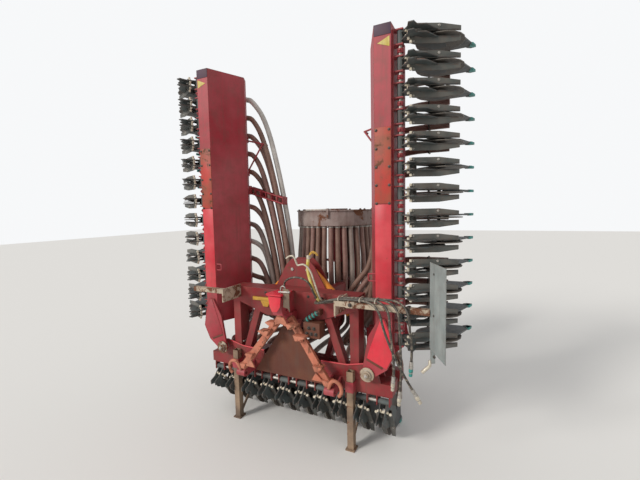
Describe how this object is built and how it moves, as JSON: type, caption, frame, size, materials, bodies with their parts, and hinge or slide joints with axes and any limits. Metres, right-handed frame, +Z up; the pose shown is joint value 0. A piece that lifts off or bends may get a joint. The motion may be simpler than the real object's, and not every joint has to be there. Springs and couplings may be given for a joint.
{
  "type": "folding slurry injector",
  "caption": "Mounted disc slurry injector with both wings folded up, rotary distributor with hoses, parking legs and a three-point hitch frame.",
  "frame": {"origin": "middle of the machine's outline on the ground", "axes": "+X to the right seen from the hitch side, +Y from the hitch to the distributor, +Z up"},
  "size_m": [2.968, 2.0114, 3.366],
  "materials": {
    "arm_steel": "beige worn tube",
    "board_paint": "bare grey board with specks",
    "cylinder_paint": "orange paint",
    "dark_plate": "dark red-brown plate",
    "disc_steel": "thin steel with brown rust",
    "drum_steel": "red paint rusted to brown grey",
    "element_paint": "grey-blue paint, worn at its edges",
    "hitch_paint": "salmon paint worn to rust",
    "hose_rubber": "pinkish brown slurry hose",
    "leg_steel": "bare steel with beige dirt",
    "red_paint": "weathered dark red paint",
    "rod_steel": "plated rod",
    "shaft_steel": "bare bright steel",
    "shoe_steel": "dark slate, worn by soil"
  },
  "bodies": {
    "frame": {"board": "board_paint", "board_arm_left": "arm_steel", "board_arm_right": "arm_steel", "catch": "red_paint", "comb_centre": "red_paint", "distributor_cover": "drum_steel", "distributor_drum": "drum_steel", "distributor_inlet": "red_paint", "forks_centre": "element_paint", "hitch_bars": "hitch_paint", "hitch_eyes": "red_paint", "hitch_plate": "dark_plate", "hoses_centre": "hose_rubber", "leg_sleeves": "red_paint", "lower_beam": "red_paint", "mast": "red_paint", "mast_spacers": "red_paint", "pins": "shaft_steel", "pivot_ears": "red_paint", "posts": "red_paint", "rear_beam": "red_paint", "runners": "red_paint", "shaft_centre": "shaft_steel", "shoes_centre": "shoe_steel", "stand_arms": "red_paint", "stand_braces": "red_paint", "stand_posts": "red_paint", "struts": "red_paint", "upper_beam": "red_paint"},
    "wing_left": {"comb_wing_left": "red_paint", "forks_wing_left": "element_paint", "shaft_wing_left": "shaft_steel", "shoes_wing_left": "shoe_steel", "wing_beam_left": "red_paint", "wing_foot_left": "red_paint"},
    "discs_left": {"discs_wing_left": "disc_steel"},
    "stand_left": {"leg_left": "leg_steel"},
    "barrel_left": {"barrel_left": "cylinder_paint"},
    "rod_left": {"rod_left": "rod_steel"},
    "wing_right": {"comb_wing_right": "red_paint", "forks_wing_right": "element_paint", "shaft_wing_right": "shaft_steel", "shoes_wing_right": "shoe_steel", "wing_beam_right": "red_paint", "wing_foot_right": "red_paint"},
    "discs_right": {"discs_wing_right": "disc_steel"},
    "stand_right": {"leg_right": "leg_steel"},
    "barrel_right": {"barrel_right": "cylinder_paint"},
    "rod_right": {"rod_right": "rod_steel"},
    "discs_centre": {"discs_centre": "disc_steel"}
  },
  "joints": [
    {"name": "wing_right_fold", "type": "hinge", "parent": "frame", "child": "wing_right", "pos_m": [0.745, -0.56492, 0.69], "axis": [0, 1, 0], "range_deg": [0, 90]},
    {"name": "barrel_right_swing", "type": "hinge", "parent": "frame", "child": "barrel_right", "pos_m": [0.08, -0.26492, 1.46], "axis": [0, -1, 0], "range_deg": [0, 4.45]},
    {"name": "rod_right_slide", "type": "slide", "parent": "barrel_right", "child": "rod_right", "axis": [0.722, 0, -0.6919], "range_m": [0, 0.2811]},
    {"name": "stand_right_slide", "type": "slide", "parent": "frame", "child": "stand_right", "axis": [0, 0, 1], "range_m": [0, 0.28]},
    {"name": "discs_right_spin", "type": "hinge", "parent": "wing_right", "child": "discs_right", "pos_m": [1.245, -0.27492, 2.13], "axis": [0, 0, 1], "continuous": true},
    {"name": "wing_left_fold", "type": "hinge", "parent": "frame", "child": "wing_left", "pos_m": [-0.745, -0.56492, 0.69], "axis": [0, -1, 0], "range_deg": [0, 90]},
    {"name": "barrel_left_swing", "type": "hinge", "parent": "frame", "child": "barrel_left", "pos_m": [-0.08, -0.26492, 1.46], "axis": [0, 1, 0], "range_deg": [0, 4.45]},
    {"name": "rod_left_slide", "type": "slide", "parent": "barrel_left", "child": "rod_left", "axis": [-0.722, 0, -0.6919], "range_m": [0, 0.2811]},
    {"name": "stand_left_slide", "type": "slide", "parent": "frame", "child": "stand_left", "axis": [0, 0, 1], "range_m": [0, 0.28]},
    {"name": "discs_left_spin", "type": "hinge", "parent": "wing_left", "child": "discs_left", "pos_m": [-1.245, -0.27492, 2.13], "axis": [0, 0, 1], "continuous": true},
    {"name": "discs_centre_spin", "type": "hinge", "parent": "frame", "child": "discs_centre", "pos_m": [0, -0.25084, 0.21302], "axis": [1, 0, 0], "continuous": true}
  ],
  "couplings": [
    {"joint": "barrel_right_swing", "follows": "wing_right_fold", "ratio": 0.049304},
    {"joint": "rod_right_slide", "follows": "wing_right_fold", "m_per_rad": 0.17889},
    {"joint": "barrel_left_swing", "follows": "wing_left_fold", "ratio": 0.049304},
    {"joint": "rod_left_slide", "follows": "wing_left_fold", "m_per_rad": 0.17889}
  ]
}
